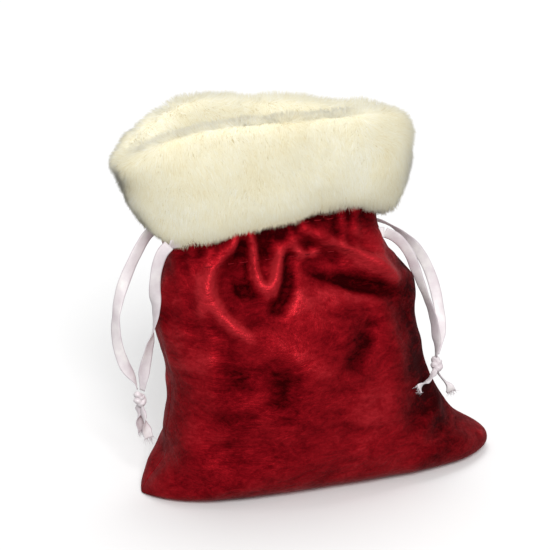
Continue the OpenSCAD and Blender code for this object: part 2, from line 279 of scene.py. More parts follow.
def velvet_material():
    """Crushed velvet: the pile is pressed flat in patches and short streaks that run across the sack."""
    n = Nodes("crushed_velvet", Roughness=0.4, Metallic=0.35, Sheen_Weight=0.05, Sheen_Roughness=0.3,
              Sheen_Tint=(1.0, 0.12, 0.16, 1), Specular_IOR_Level=0.2, Specular_Tint=(0.5, 0.045, 0.055, 1))
    pile_way_and_painted_shade = n.add("ShaderNodeAttribute", attribute_name="pile_way_and_painted_shade").outputs["Fac"]
    broad = n.noise(n.coords((1, 1, 2.0)), 32, 6, 0.68, 0.7)
    crease = n.noise(n.coords((1, 1, 1.9), (0, 0.35, 0)), 120, 5, 0.68, 1.0)
    fine = n.noise(n.coords((1, 1, 1.4), (0, -0.3, 0)), 520, 3, 0.65, 0.5)
    pile = n.noise(n.coords(), 1700, 2, 0.5)
    crush = n.math("ADD", n.math("MULTIPLY", broad, 0.55), n.math("MULTIPLY", crease, 0.45))
    crush = n.math("ADD", crush, n.math("MULTIPLY", n.math("SUBTRACT", fine, 0.5), 0.28))
    # the panels' per-point value: the pile's lie, with painted shade in hollows, under the cuff and on the right
    # flank, and painted highlight on ridges
    crush = n.math("ADD", crush, n.math("MULTIPLY", n.math("SUBTRACT", pile_way_and_painted_shade, 0.5), 0.5))
    colour = n.ramp(crush, [(0.22, rgb(44, 0, 2)), (0.42, rgb(102, 5, 13)), (0.57, rgb(135, 14, 23)),
                            (0.8, rgb(176, 36, 44))])
    n.to(colour, "Base Color")
    n.to(n.remap(crush, 0.28, 0.68, 0.68, 0.35), "Roughness")
    height = n.math("ADD", n.math("MULTIPLY", crease, 0.75), n.math("MULTIPLY", fine, 0.3))
    normal = n.bump(broad, 0.35, 0.006)
    normal = n.bump(height, 0.4, 0.0013, normal)
    normal = n.bump(pile, 0.35, 0.0002, normal)
    n.to(normal, "Normal")
    return n.mat


def backing_material():
    """The wrong side of the velvet and its seam allowances: a duller knit."""
    n = Nodes("velvet_backing", Roughness=0.85)
    v = n.coords()
    knit = n.wave(v, "DIAGONAL", 420, 1.5)
    tone = n.noise(v, 60, 4)
    n.to(n.mix(tone, rgb(92, 10, 18), rgb(122, 22, 30)), "Base Color")
    n.to(n.bump(knit, 0.4, 0.0003), "Normal")
    return n.mat


def thread_material():
    n = Nodes("sewing_thread", Roughness=0.7, Specular_IOR_Level=0.1)
    twist = n.wave(n.coords(), "DIAGONAL", 900, 0.5)
    n.to(n.mix(twist, rgb(104, 8, 16), rgb(140, 18, 28)), "Base Color")
    n.to(n.bump(twist, 0.5, 0.0002), "Normal")
    return n.mat


def satin_material():
    """Ribbon satin: fine lengthwise threads over a cross weave, with a woven edge."""
    n = Nodes("ribbon_satin", Roughness=0.36, Sheen_Weight=0.3, Sheen_Tint=(1.0, 0.93, 0.95, 1),
              Specular_IOR_Level=0.6)
    uv = n.coords(kind="UV")
    split = n.add("ShaderNodeSeparateXYZ")
    n.link(uv, split.inputs[0])
    warp = n.wave(n.coords((1, 0.2, 1), kind="UV"), "X", 6.5, 0.4)
    weft = n.wave(uv, "Y", 0.9, 0.6)
    tone = n.noise(n.coords(), 90, 3)
    colour = n.ramp(tone, [(0.3, rgb(206, 193, 198)), (0.52, rgb(221, 213, 215)), (0.7, rgb(235, 230, 228))])
    from_middle = n.math("ABSOLUTE", n.math("SUBTRACT", split.outputs[0], 0.5), 0)
    edge = n.math("GREATER_THAN", from_middle, 0.44)
    n.to(n.mix(n.math("MULTIPLY", edge, 0.5), colour, rgb(190, 176, 184)), "Base Color")
    height = n.math("ADD", n.math("MULTIPLY", warp, 0.7), n.math("MULTIPLY", weft, 0.5))
    n.to(n.bump(height, 0.3, 0.00012), "Normal")
    return n.mat


def fur_material(name, colour):
    """One tone of the pile's fibres. The pile is many fibres of a few tones."""
    n = Nodes(name, Roughness=0.75, Base_Color=colour, Sheen_Weight=0.25, Sheen_Roughness=0.5,
              Sheen_Tint=(1, 0.98, 0.92, 1), Specular_IOR_Level=0.25)
    return n.mat


def fur_base_material():
    """The ground of the plush, with the short underfur that shows between the fibres."""
    n = Nodes("plush_ground", Roughness=0.9)
    v = n.coords()
    tuft = n.noise(v, 260, 5, 0.7)
    patch = n.noise(v, 30, 3)
    colour = n.ramp(tuft, [(0.3, rgb(186, 172, 136)), (0.5, rgb(206, 196, 164)), (0.7, rgb(218, 211, 186))])
    n.to(n.mix(n.math("MULTIPLY", patch, 0.25), colour, rgb(200, 186, 146)), "Base Color")
    n.to(n.bump(tuft, 0.9, 0.0016), "Normal")
    return n.mat


VELVET, BACKING = velvet_material(), backing_material()
THREAD, SATIN = thread_material(), satin_material()
FUR_BASE = fur_base_material()
FUR_TONES = [fur_material("plush_fibre_%d" % i, c) for i, c in enumerate([
    rgb(224, 220, 198), rgb(222, 216, 190), rgb(218, 210, 180), rgb(212, 200, 164), rgb(227, 225, 211)])]

# ---------------------------------------------------------------- ribbons
NECK_Y, STRAND_Y = 5, 13.85  # the neck's middle in y, and how far each strand leaves from it
EXITS = {"left": (-82, 142), "right": (40, 135)}  # x and z where each pair leaves the sack
# Points along each strand from its exit to its knot
ROUTES = {
    "left_front": [[-86, -9, 138], [-89, -9, 130], [-90, -8, 119], [-89, -6, 107], [-90, -4, 95],
                   [-92, -2, 83], [-94, 0, 71], [-95, 1, 59]],
    "left_back": [[-86, 19, 138], [-92, 17, 130], [-98, 15, 120], [-103, 13, 109], [-106, 11, 97],
                  [-106, 9, 85], [-103, 7, 73], [-98, 5, 64], [-97, 4, 59]],
    "right_front": [[47, -10, 131], [53, -12, 123], [57, -13, 113], [61, -14, 102], [65, -15, 91],
                    [68, -15, 81], [69, -16, 71], [69, -16, 62]],
    "right_back": [[47, 19, 133], [57, 18, 128], [66, 16, 120], [73, 13, 110], [77, 9, 99],
                   [78, 3, 88], [77, -4, 77], [73, -11, 67], [71, -13, 62]],
}
TAILS = {
    "left_front": [[-95.5, 0.8, 49], [-94.5, 0, 41], [-92.5, -1, 32]],
    "left_back": [[-96.6, 3.6, 49], [-96, 5, 41], [-94.6, 5.4, 34]],
    "right_front": [[66, -20, 54], [59, -27, 53], [51, -34, 52]],
    "right_back": [[71, -13, 52], [76, -13, 45], [81, -12, 38]],
}
TAIL_SEEDS = {"left_front": 7, "left_back": 8, "right_front": 17, "right_back": 18}
FRAY = {"left": 4.5, "right": 4}  # longest loose thread at a cut end
KNOTS = {"left": [-96, 2.5, 54], "right": [70, -15, 57]}
# Twist of each strand about its own line: share of its length, degrees from facing the front
TWISTS = {
    "left_front": [(0, 20), (0.3, 5), (0.42, 60), (0.55, 95), (0.68, 150), (0.85, 185), (1, 240)],
    "left_back": [(0, -10), (0.3, 15), (0.55, 70), (0.75, 30), (0.9, -30), (1, -80)],
    "right_front": [(0, 15), (0.35, 45), (0.6, 75), (0.85, 60), (1, 100)],
    "right_back": [(0, 60), (0.2, 75), (0.4, 20), (0.75, 5), (0.9, 45), (1, 90)],
}
WIDTH, CLOTH = 6.0, 0.42  # the ribbon's width and thickness
STRAND_POINTS, RUN_POINTS, TAIL_POINTS, THREADS = 90, 48, 26, 26


def ribbon_mesh(name, line, turns, widths, cup, wave=0.0):
    """A flat ribbon along a line. turns are degrees about the line, and widths are shares of full width.
    cup curls its edges, and wave ripples them."""
    n = len(line)
    along = unit(np.gradient(line, axis=0))
    wide = unit(np.cross(np.array([0.0, 1, 0]), along))
    thin = np.cross(along, wide)
    a = np.radians(turns)[:, None]
    w = wide * np.cos(a) + thin * np.sin(a)
    t = np.cross(along, w)
    q = np.linspace(-1, 1, 9)
    steps = np.linspace(0, 1, n) * n
    run = steps * 1.2
    ripple = wave * np.sin(steps * 0.55)[:, None, None]
    rings, uv = [], []
    for face in (1, -1):
        qq = q if face > 0 else q[::-1]
        lift = ((cup * (qq**2 - 0.4))[None, :, None] + ripple * qq[None, :, None] ** 3
                + face * CLOTH / 2 * (1 - 0.35 * np.abs(qq) ** 8)[None, :, None])
        rings.append(line[:, None] + w[:, None] * (widths[:, None] * WIDTH / 2 * qq[None])[..., None]
                     + t[:, None] * lift)
        uv.append(np.stack(np.broadcast_arrays((qq[None] + 1) / 2, run[:, None]), -1))
    points = np.concatenate(rings, 1)
    cols = points.shape[1]
    faces = [grid_faces(n, cols, wrap=True), end_cap(np.arange(cols), True),
             end_cap((n - 1) * cols + np.arange(cols), False)]
    return mesh_object(name, points.reshape(-1, 3), faces, [SATIN], uv=np.concatenate(uv, 1).reshape(-1, 2))


def twist_along(shares, pairs):
    """The twist at each share of the strand, with its corners rounded off."""
    x, y = zip(*pairs)
    fine = np.interp(shares, x, y)
    k = np.ones(7) / 7
    return np.convolve(np.pad(fine, 3, mode="edge"), k, "valid")


def knot_mesh(name, at, axis):
    """An overhand knot: the ribbon, folded narrow, passes round itself and is pulled tight."""
    steps, sides, turns = 80, 14, 1.55
    centre = np.asarray(at, float)
    z = unit(np.asarray(axis, float))
    x = unit(np.cross(z, [0.3, 1, 0.2]))
    y = np.cross(z, x)
    s = np.linspace(0, 1, steps)
    a = 2 * np.pi * turns * s - 0.6
    r = 2.0 + 0.45 * np.sin(3 * a)
    h = (s - 0.5) * 5.2 + 1.25 * np.sin(2 * a + 0.4)
    line = centre + (np.cos(a) * r)[:, None] * x + (np.sin(a) * r)[:, None] * y + h[:, None] * z
    along = unit(np.gradient(line, axis=0))
    off = line - centre
    out = unit(off - (off @ z)[:, None] * z)
    side = unit(np.cross(along, out))
    out = np.cross(side, along)
    rings = []
    for j in range(sides):
        b = 2 * np.pi * j / sides
        crease = 1 + 0.16 * math.cos(3 * b + 1.1)
        rings.append(line + side * (1.75 * crease * math.cos(b)) + out * (1.15 * crease * math.sin(b)))
    points = np.stack(rings, 1)
    taper = smooth01(np.minimum(s, 1 - s) / 0.1)[:, None, None] * 0.75 + 0.25
    points = line[:, None] + (points - line[:, None]) * taper
    uv = np.stack(np.broadcast_arrays(np.linspace(0, 1, sides)[None], s[:, None] * 40), -1)
    fan = np.stack([np.zeros(sides - 2, int), np.arange(1, sides - 1), np.arange(2, sides)], 1)
    faces = [grid_faces(steps, sides, wrap=True), fan[:, ::-1], fan + (steps - 1) * sides]
    return mesh_object(name, points.reshape(-1, 3), faces, [SATIN], uv=uv.reshape(-1, 2))


def tail_mesh(name, route, start, fray, seed):
    """A cut end of ribbon: pinched where it leaves the knot, then crumpled, with loose threads."""
    line, _ = spline([start] + route, TAIL_POINTS)
    s = np.linspace(0, 1, len(line))
    turns = 30 + 150 * s + 25 * np.sin(s * 9 + seed)
    widths = 0.35 + 0.5 * smooth01(s * 1.6) + 0.08 * np.sin(s * 17 + seed)
    tail = ribbon_mesh(name, line, turns, widths, 0.55, 0.35)
    r = np.random.default_rng(seed)
    along = unit(line[-1] - line[-3])
    a = math.radians(turns[-1])
    wide = unit(np.cross([0, 1, 0], along))
    thin = np.cross(along, wide)
    w = wide * math.cos(a) + thin * math.sin(a)
    steps = 5
    pts, quads = [], []
    for _ in range(THREADS):
        root = (line[-1] - along * 0.8 + w * (WIDTH / 2 * widths[-1] * r.uniform(-1, 1))
                + thin * r.uniform(-0.15, 0.15))
        go = unit(along + 0.35 * r.normal(size=3))
        bend = 0.5 * r.normal(size=3)
        reach = fray * r.uniform(0.45, 1)
        side = unit(np.cross(go, r.normal(size=3)))
        other = np.cross(go, side)
        quads.append(grid_faces(steps + 1, 3, wrap=True, offset=len(pts)))
        for i in range(steps + 1):
            f = i / steps
            c = root + go * reach * f + bend * f * f * reach * 0.5
            radius = 0.16 * (1 - 0.6 * f)
            for j in range(3):
                b = 2 * math.pi * j / 3
                pts.append(c + (side * math.cos(b) + other * math.sin(b)) * radius)
    loose = mesh_object(name + "_threads", np.array(pts), [np.concatenate(quads)], [SATIN],
                        uv=np.zeros((len(pts), 2)))
    return tail, loose


for side in ("left", "right"):
    body = side + "_ribbon_loop"
    exit_x, exit_z = EXITS[side]
    strands, tails, threads = [], [], []
    for face, y in (("front", -1), ("back", 1)):
        key = side + "_" + face
        exit_at = [exit_x, NECK_Y + y * STRAND_Y, exit_z]
        line, length = spline([exit_at] + ROUTES[key], STRAND_POINTS)
        shares = np.linspace(0, 1, STRAND_POINTS)
        widths = 1 - 0.45 * smooth01((shares - 0.86) / 0.14) + 0.03 * np.sin(shares * 23)
        strand = ribbon_mesh(key + "_satin_strand", line, twist_along(shares, TWISTS[key]), widths, 0.28, 0.12)
        strands.append((strand, exit_at, length, line))
        tail, loose = tail_mesh(key + "_satin_tail", TAILS[key], KNOTS[side], FRAY[side], TAIL_SEEDS[key])
        tails.append(tail)
        threads.append(loose)
        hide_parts(side + "_ribbon_" + face + "_strand")
        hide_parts(key + "_tail")
    axis = np.array(ROUTES[side + "_front"][-1], float) - np.array(TAILS[side + "_front"][0], float)
    knot = knot_mesh(side + "_satin_knot", KNOTS[side], axis)
    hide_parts(side + "_knot")
    for ob in [x[0] for x in strands] + tails + threads + [knot]:
        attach(ob, body)
    # the ribbon inside the tunnel, which is drawn out: it ends where the strand starts
    turned = 0 if side == "left" else 180
    for i, face in enumerate(("front", "back")):
        lo, hi = (np.array(b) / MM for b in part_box(side + "_ribbon_" + face + "_run"))
        middle = (lo[0] + hi[0]) / 2
        xs = [lo[0] + 5, middle, hi[0]] if side == "left" else [hi[0] - 5, middle, lo[0]]
        start = strands[i][3][0]
        line, _ = spline([start] + [[x, (lo[1] + hi[1]) / 2, exit_z] for x in xs], RUN_POINTS)
        turns = np.linspace(turned + TWISTS[side + "_" + face][0][1], turned, RUN_POINTS)
        run = ribbon_mesh(side + "_" + face + "_satin_run", line, turns, np.full(RUN_POINTS, 0.97), 0.0)
        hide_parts(side + "_ribbon_" + face + "_run")
        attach(run, side + "_drawstring")

# ---------------------------------------------------------------- velvet sack
BASE_W, WAIST_W, WAIST_Z, SHOULDER_Z = 204, 145, 78, 88
BELLY_D, FOOT_D, BELLY_Z, NECK_Z, NECK_W, NECK_D = 92, 66, 45, 128, 116, 30
TOP_Z = 156  # the velvet runs up inside the cuff
FOOT_X, LEAN_X, LEAN_Y = 4, 25, 5
GAP = 0.15  # half the space between the front and the back at the seams
FLAT = 1 - 11 / (NECK_W / 2)  # share of the neck's half width that is flat in plan
ROWS_UP, COLS = 118, 151
FLOOR_SHARES = [0.03, 0.3, 0.55, 0.78, 0.9]  # rows of the panel under the sack, as shares of its depth
FOLD_FROM_Z = 98  # folds that reach above this are gathers: narrower and deeper than the others
VELVET_THICK, SEAM_WIDTH = 0.7, 1.4  # the cloth's thickness, and how far it turns in at its side seams
HELD_Z, SETTLE_STEP, SETTLE_FRAMES, SETTLE_SHARE = 134, 3, 20, 0.35
STITCH_ROWS, STITCH, STITCH_PITCH, THREAD_R = (130, 147), 4, 7, 0.27


def half_w(z):
    z = np.asarray(z, float)
    low = WAIST_W / 2 + (BASE_W - WAIST_W) / 2 * np.clip(1 - z / WAIST_Z, 0, 1) ** 2
    high = NECK_W / 2 + (WAIST_W - NECK_W) / 2 * (1 - np.clip((z - SHOULDER_Z) / (NECK_Z - SHOULDER_Z), 0, 1) ** 2)
    return np.where(z < SHOULDER_Z, low, high)


def half_d(z):
    z = np.asarray(z, float)
    low = BELLY_D / 2 - (BELLY_D - FOOT_D) / 2 * np.clip(1 - z / BELLY_Z, 0, 1) ** 4
    high = NECK_D / 2 + (BELLY_D - NECK_D) / 2 * (1 - np.clip((z - BELLY_Z) / (NECK_Z - BELLY_Z), 0, 1) ** 2.4)
    return np.where(z < BELLY_Z, low, high)


def mid_x(z):
    """Where the sack's middle is at a height: it leans to the left."""
    return FOOT_X - LEAN_X * np.minimum(1, np.asarray(z, float) / NECK_Z)


def mid_y(z):
    return LEAN_Y * np.clip((np.asarray(z, float) - BELLY_Z) / (NECK_Z - BELLY_Z), 0, 1) ** 1.5


def bulge(u, z):
    """The panel's depth across the sack, as a share of its depth in the middle."""
    f = np.clip((z - SHOULDER_Z) / (NECK_Z - SHOULDER_Z), 0, 1) ** 2
    r = np.sqrt(np.clip(1 - u * u, 0, 1))
    # the foot is squarer in plan than the belly, and the neck is flat with round ends
    square = np.clip(1 - np.abs(u) ** 4.6, 0, 1) ** 0.52
    foot = np.clip(1 - z / 36, 0, 1) ** 1.2
    r = r * (1 - foot) + square * foot
    e = np.sqrt(np.clip(1 - (np.clip((np.abs(u) - FLAT) / (1 - FLAT), 0, 1)) ** 2, 0, 1))
    return (1 - f) * r + f * e


def velvet_point(u, z, side):
    """The velvet's outer face before its folds. u runs from -1 at the left seam to 1 at the right."""
    far = np.abs(u)
    w = half_w(z) + np.where(u > 0, 6.5 * np.exp(-((z - 113) / 17) ** 2) * far ** 3, 0)
    # the right shoulder and the left waist, then the right ear and the left foot
    w = w + np.where(u > 0, 4.0 * np.exp(-((z - 101) / 9) ** 2),
                     -2.6 * np.exp(-((z - 60) / 30) ** 2)) * far ** 3
    w = w + np.where(u > 0, 8.5 * np.exp(-((z - 9) / 9) ** 2),
                     -4.5 * np.exp(-((z - 21) / 10) ** 2)) * far ** 6
    w = w - np.where(u > 0, 3.0, 1.0) * np.clip(1 - z / 5, 0, 1) ** 2
    depth = half_d(z) - 4.5 * np.clip(1 - z / 14, 0, 1) ** 2
    return np.stack([mid_x(z) + w * u, mid_y(z) + side * (GAP + depth * bulge(u, z)), z], -1)


# Folds of the front: amount, width, and points (x, z) along each, in millimetres
FRONT_FOLDS = [
    (3.2, 5.0, [(-45, 143), (-54, 134), (-60, 126), (-63, 118), (-61, 110), (-56, 102), (-48, 95), (-38, 90)]),
    (2.0, 4.5, [(-62, 136), (-66, 124), (-68, 112), (-69, 100)]),
    (-3.0, 5.0, [(-43, 134), (-45, 122), (-46, 112)]),
    (3.6, 3.8, [(-37, 144), (-37, 132), (-38, 122), (-36, 116), (-31, 114), (-27, 119), (-23, 127), (-20, 137),
                (-18, 144)]),
    (-1.6, 4.0, [(-30, 142), (-30, 132), (-30, 125)]),
    (-3.0, 4.2, [(-17, 128), (-20, 118), (-27, 108), (-36, 106)]),
    (2.6, 3.4, [(-14, 142), (-13, 133), (-8, 128), (-2, 129), (1, 134)]),
    (4.4, 5.2, [(-6, 143), (5, 136), (15, 130), (24, 124), (33, 118), (42, 112), (50, 106)]),
    (-3.8, 4.6, [(-6, 124), (3, 120), (13, 115), (24, 111), (36, 107), (47, 102)]),
    (2.0, 7.0, [(12, 143), (24, 138), (34, 130), (44, 121)]),
    (-1.8, 6.0, [(24, 90), (19, 82), (12, 76), (8, 68)]),
    (1.6, 8.0, [(-40, 92), (-26, 84), (-12, 76), (0, 66)]),
    (-1.6, 9.0, [(-30, 76), (-33, 64), (-36, 52)]),
    (1.5, 4.0, [(54, 14), (66, 16), (80, 16), (92, 13)]),
    (-1.5, 3.6, [(58, 22), (68, 24), (80, 24)]),
    (1.3, 4.0, [(58, 32), (66, 36), (70, 44)]),
    (1.4, 4.5, [(-90, 10), (-82, 18), (-75, 28), (-72, 40)]),
    (-1.3, 4.0, [(-80, 8), (-72, 12), (-62, 20)]),
    (1.2, 6.0, [(-66, 60), (-68, 74), (-66, 88)]),
    (-1.2, 6.0, [(-50, 70), (-58, 80), (-58, 92)]),
]
BACK_FOLDS = [
    (3.0, 4.8, [(-66, 143), (-68, 128), (-72, 112), (-70, 98)]),
    (-2.4, 4.5, [(-56, 140), (-58, 124), (-60, 112)]),
    (3.4, 4.6, [(-48, 144), (-48, 130), (-52, 114), (-56, 100), (-54, 84)]),
    (-2.6, 4.6, [(-39, 142), (-38, 126), (-40, 112)]),
    (3.4, 4.2, [(-30, 144), (-29, 132), (-27, 118), (-28, 104)]),
    (-2.6, 4.4, [(-21, 142), (-19, 128), (-16, 114)]),
    (3.6, 4.8, [(-12, 144), (-9, 130), (-2, 116), (6, 102), (12, 86)]),
    (-2.4, 4.4, [(-2, 142), (4, 128), (12, 114)]),
    (3.2, 4.4, [(8, 144), (14, 130), (24, 116), (32, 104)]),
    (-2.2, 4.2, [(18, 140), (26, 126), (36, 114)]),
    (2.8, 4.4, [(27, 143), (36, 130), (46, 116), (50, 100)]),
    (1.6, 9.0, [(-40, 82), (-20, 74), (6, 76), (30, 68)]),
    (-1.5, 9.0, [(-46, 60), (-20, 54), (14, 58), (36, 50)]),
    (1.5, 4.4, [(-92, 12), (-80, 18), (-70, 28)]),
    (-1.3, 4.0, [(-78, 8), (-66, 14), (-56, 24)]),
    (1.5, 4.4, [(94, 12), (82, 18), (70, 30)]),
    (-1.3, 4.0, [(80, 8), (66, 14), (56, 26)]),
]


def fold_height(x, z, folds):
    """How far the folds stand out (or in, below 0) at each point. They fade out at their lower ends."""
    p = np.stack([x, z], -1)
    total = np.zeros(len(x))
    for amount, width, route in folds:
        line, _ = spline(route, 24)
        best = np.full(len(x), 1e9)
        share = np.zeros(len(x))
        for i in range(len(line) - 1):
            a, d = line[i], line[i + 1] - line[i]
            t = np.clip(((p - a) @ d) / (d @ d), 0, 1)
            r = np.hypot(*(p - a - t[:, None] * d).T)
            near = r < best
            best[near] = r[near]
            share[near] = ((i + t) / (len(line) - 1))[near]
        fade = smooth01(share / 0.12) * 0.35 + 0.65
        fade = fade * smooth01((1 - share) / 0.3 + 0.05)
        narrower, deeper = (0.82, 1.75) if line[:, 1].max() > FOLD_FROM_Z else (1, 1.3)
        total += amount * fade * np.exp(-(best / width / narrower) ** 2) * deeper
    return total


# Patches of painted shade (under the cuff, on the right flank) and painted light, partly where the pile lies another
# way: middle (x, z), half sizes, amount
FRONT_PILE_AND_SHADE_PATCHES = [(64, 70, 19, 50, -0.95), (-28, 60, 13, 24, -0.12), (11, 78, 10, 17, -0.28), (-5, 107, 34, 8, 0.15),
                 (-42, 112, 10, 12, -0.25), (24, 46, 24, 18, 0.25), (-62, 96, 9, 14, -0.1), (-55, 43, 12, 32, -0.25),
                 (0, 144, 70, 10, -0.6), (-62, 136, 18, 10, -0.3), (-22, 121, 5, 9, -0.5), (-80, 84, 12, 14, 0.3),
                 (-42, 92, 8, 8, -0.3), (90, 12, 12, 12, -0.1), (48, 24, 22, 8, 0.12)]
BACK_PILE_AND_SHADE_PATCHES = [(-50, 80, 16, 30, -0.25), (10, 70, 26, 22, 0.2), (66, 70, 19, 50, -0.8), (-76, 84, 12, 18, 0.2),
                (-10, 112, 40, 10, 0.15), (-20, 40, 26, 14, -0.15)]


def settled(grid, side):
    """How far slack cloth of the panel's shape, held along its seams, neck and foot, moves off that shape
    as it settles under its own weight. In millimetres along the outward direction, for each point of the grid."""
    g = grid[::SETTLE_STEP, ::SETTLE_STEP]
    rows, cols = g.shape[:2]
    ob = mesh_object("settling", g.reshape(-1, 3), grid_faces(rows, cols, flip=side > 0), [])
    hold = np.zeros((rows, cols))
    hold[:2] = hold[:, :1] = hold[:, -1:] = 1
    hold[g[..., 2] > HELD_Z] = 1
    group = ob.vertex_groups.new(name="held")
    group.add([int(i) for i in np.flatnonzero(hold.ravel())], 1.0, "REPLACE")
    cloth = ob.modifiers.new("cloth", "CLOTH")
    c = cloth.settings
    c.vertex_group_mass = "held"
    c.quality, c.mass, c.air_damping = 8, 0.25, 3
    c.tension_stiffness = c.compression_stiffness = 12
    c.shear_stiffness, c.bending_stiffness = 4, 0.4
    c.shrink_min = -0.05
    cloth.collision_settings.use_collision = False
    cloth.point_cache.frame_start, cloth.point_cache.frame_end = 1, SETTLE_FRAMES
    scene = bpy.context.scene
    for frame_number in range(1, SETTLE_FRAMES + 1):
        scene.frame_set(frame_number)
    shape = ob.evaluated_get(bpy.context.evaluated_depsgraph_get()).to_mesh()
    now = np.zeros(rows * cols * 3, np.float32)
    shape.vertices.foreach_get("co", now)
    n = grid_normals(g) * (-1 if side > 0 else 1)
    off = ((now.reshape(rows, cols, 3) / MM - g) * n).sum(-1)
    bpy.data.objects.remove(ob, do_unlink=True)
    scene.frame_set(1)
    # its broad sag is in the panel's shape already: the creases and hollows are what it adds
    off = np.clip(blurred(off, 1) - blurred(off, 40), -2.5, 2.5)
    fi, fj = np.linspace(0, rows - 1, grid.shape[0]), np.linspace(0, cols - 1, grid.shape[1])
    tall = np.stack([np.interp(fi, np.arange(rows), off[:, j]) for j in range(cols)], 1)
    full = np.stack([np.interp(fj, np.arange(cols), row) for row in tall])
    return np.concatenate([np.zeros((len(FLOOR_SHARES), grid.shape[1])), full])


def base_grid(u, side):
    """The panel before its folds, from the seam under the sack to its top: points, and heights before easing."""
    k = np.linspace(0, 1, ROWS_UP)
    grid = []
    for share in FLOOR_SHARES:
        p = velvet_point(u, np.zeros(COLS), side)
        p[:, 1] = side * GAP + (p[:, 1] - side * GAP) * share
        grid.append(p)
    for z in TOP_Z * (k + 0.10 * np.sin(2 * np.pi * k) / (2 * np.pi)):
        grid.append(velvet_point(u, np.full(COLS, z), side))
    g = np.array(grid)
    height = g[..., 2].copy()
    # round the edge where the wall meets the floor
    g = eased(g, np.exp(-(np.arange(len(g)) - len(FLOOR_SHARES)) ** 2 / 30.0)[:, None, None], 10)
    # and ease the line where the shoulder meets the gathered neck
    g = eased(g, np.exp(-((height[..., None] - 127.5) / 7.0) ** 2), 16)
    # corners lift off the floor a little
    g[..., 2] += 0.8 * smooth01((np.abs(u) - 0.8) / 0.2)[None, :] * np.exp(-(height / 12.0) ** 2)
    return g


def velvet_panel(name, side, folds, pile_and_shade_patches, seed):
    tau = np.linspace(-1, 1, COLS)
    g = base_grid(np.sin(np.pi / 2 * tau), side)
    floor_rows = len(FLOOR_SHARES)
    flat = g.reshape(-1, 3)
    n = grid_normals(g) * (-1 if side > 0 else 1)
    n[:, 0] = [-1, 0, 0]
    n[:, -1] = [1, 0, 0]
    edge = smooth01((1 - np.abs(tau)) / 0.10)[None, :]
    high = smooth01(flat[:, 2] / 14)
    d = fold_height(flat[:, 0], flat[:, 2], folds)
    # tight pleats where the drawstring gathers the neck
    phase = flat[:, 0] * 0.62 + 1.3 * np.sin(flat[:, 0] * 0.21 + seed)
    d += 0.9 * np.sin(phase) * smooth01((flat[:, 2] - 112) / 34)
    # soft lumps of two sizes, and sharper creases that are strongest above the belly
    d += (1.0 * lattice_noise(flat * [1, 1, 1.3], 24, seed)
          + 0.5 * lattice_noise(flat * [1, 1, 1.8], 10, seed + 1) * high)
    creased = 1 - 2.6 * np.abs(lattice_noise(flat * [1, 1, 1.5], 19, seed + 2))
    d += 0.8 * creased * (0.35 + 0.65 * smooth01((flat[:, 2] - 80) / 30))
    d = d.reshape(g.shape[:2]) * edge * np.clip(high.reshape(g.shape[:2]) + 0.12, 0, 1)
    # the tunnel behind the neck leaves no room for hollows there
    neck = smooth01((g[..., 2] - 113) / 9)
    d = d + 0.9 * neck * edge
    d = np.clip(d, -6.5 * (1 - neck) - 0.1, 8)
    lie = d
    d = d + settled(g[floor_rows:], side) * SETTLE_SHARE * edge * (1 - neck)
    g = g + n * blurred(d, 2)[..., None]
    g[floor_rows - 1:floor_rows + 3, :, 2] = np.maximum(g[floor_rows - 1:floor_rows + 3, :, 2], 0.25)
    g[:floor_rows - 1, :, 2] = np.maximum(g[:floor_rows - 1, :, 2], 0.2)
    inner = g - grid_normals(g) * (-1 if side > 0 else 1) * VELVET_THICK
    inner[:, 0] = g[:, 0] + np.array([SEAM_WIDTH, 0, 0])
    inner[:, -1] = g[:, -1] - np.array([SEAM_WIDTH, 0, 0])
    # the inner face stays on its own side of the sack
    inner[..., 1] = np.where(side > 0, np.maximum(inner[..., 1], 0.1 + mid_y(g[..., 2])),
                             np.minimum(inner[..., 1], mid_y(g[..., 2]) - 0.1))
    rows, cols = g.shape[:2]
    points = np.concatenate([g.reshape(-1, 3), inner.reshape(-1, 3)])
    m = rows * cols
    outer_faces = grid_faces(rows, cols, flip=side > 0)
    inner_faces = grid_faces(rows, cols, offset=m, flip=side < 0)
    ring = np.concatenate([np.arange(cols), (np.arange(1, rows) * cols + cols - 1),
                           (rows - 1) * cols + np.arange(cols - 2, -1, -1), np.arange(rows - 2, 0, -1) * cols])
    nxt = np.roll(ring, -1)
    rim = np.stack([ring, nxt, nxt + m, ring + m], 1)
    rim = rim[:, ::-1] if side < 0 else rim
    slots = np.concatenate([np.zeros(len(outer_faces)), np.ones(len(inner_faces)), np.zeros(len(rim))])
    ob = mesh_object(name, points, [outer_faces, inner_faces, rim], [VELVET, BACKING], slots=slots)
    # how the pile lies, with painted highlight on ridges, painted shade in hollows, and the patches of painted shade
    # and light below
    ridge_highlight_and_hollow_shade = 0.1 * np.clip(lie, -3.2, 4) + 0.17 * np.clip(lie - blurred(lie, 24), -1.8, 2)
    pile_lie_and_painted_shade = 0.51 + ridge_highlight_and_hollow_shade * smooth01((g[..., 2] - 20) / 30)
    for x, z, wide, tall, amount in pile_and_shade_patches:
        pile_lie_and_painted_shade += amount * np.exp(-((g[..., 0] - x) / wide) ** 2 - ((g[..., 2] - z) / tall) ** 2)
    pile_lie_and_painted_shade = np.clip(pile_lie_and_painted_shade, 0, 1).ravel()
    pile_way_and_painted_shade = ob.data.attributes.new("pile_way_and_painted_shade", "FLOAT", "POINT")
    pile_way_and_painted_shade.data.foreach_set("value", np.concatenate([pile_lie_and_painted_shade, pile_lie_and_painted_shade]).astype(np.float32))
    return ob, g


velvet_front, front_grid = velvet_panel("velvet_front", -1, FRONT_FOLDS, FRONT_PILE_AND_SHADE_PATCHES, 3)
velvet_back, back_grid = velvet_panel("velvet_back", 1, BACK_FOLDS, BACK_PILE_AND_SHADE_PATCHES, 8)
for ob, node in ((velvet_front, "front_panel"), (velvet_back, "back_panel")):
    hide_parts(node)
    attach(ob, "sack")


